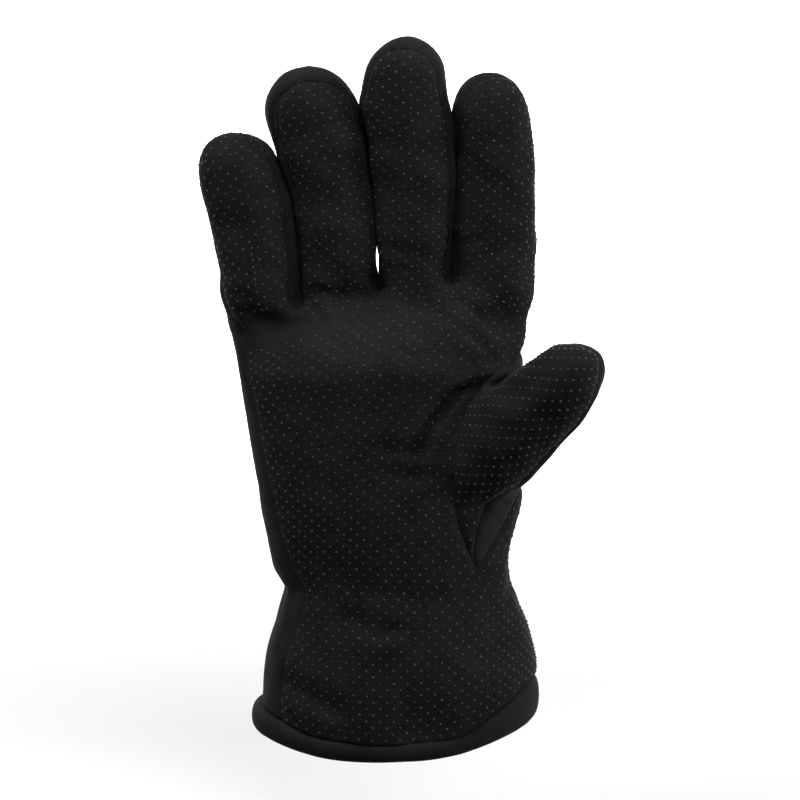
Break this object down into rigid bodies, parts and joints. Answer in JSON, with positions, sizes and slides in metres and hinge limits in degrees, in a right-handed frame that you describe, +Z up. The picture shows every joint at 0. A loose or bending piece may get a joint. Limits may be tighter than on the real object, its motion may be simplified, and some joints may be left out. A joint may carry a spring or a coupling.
{
  "type": "thermal glove",
  "caption": "Padded right-hand thermal glove held fingers up, with a dotted grip palm, plain cloth back and finger strips, gathered wrist and rolled cuff hem.",
  "frame": {"origin": "middle of the mouth that the hand goes in by, level with the lowest edge of the rolled hem", "axes": "+Z up the fingers, +X towards the thumb's side, -Y the palm side; metres"},
  "size_m": [0.1459, 0.0787, 0.2589],
  "materials": {
    "grip_cloth": "fine black knit under small raised grip dots",
    "shell_cloth": "smooth matte black stretch cloth",
    "hem_cloth": "soft matte black rolled edge",
    "grip_dots": "semi-gloss black grip print",
    "lining": "brushed black fleece"
  },
  "bodies": {
    "root": {"palm_panel": "grip_cloth", "thumb_front": "grip_cloth", "thumb_back": "shell_cloth", "strip_little_ring": "shell_cloth", "strip_ring_middle": "shell_cloth", "strip_middle_index": "shell_cloth", "back_cuff": "shell_cloth", "back_panel": "shell_cloth", "back_little": "shell_cloth", "back_ring": "shell_cloth", "back_middle": "shell_cloth", "back_index": "shell_cloth", "hem_roll": "hem_cloth"}
  },
  "joints": []
}
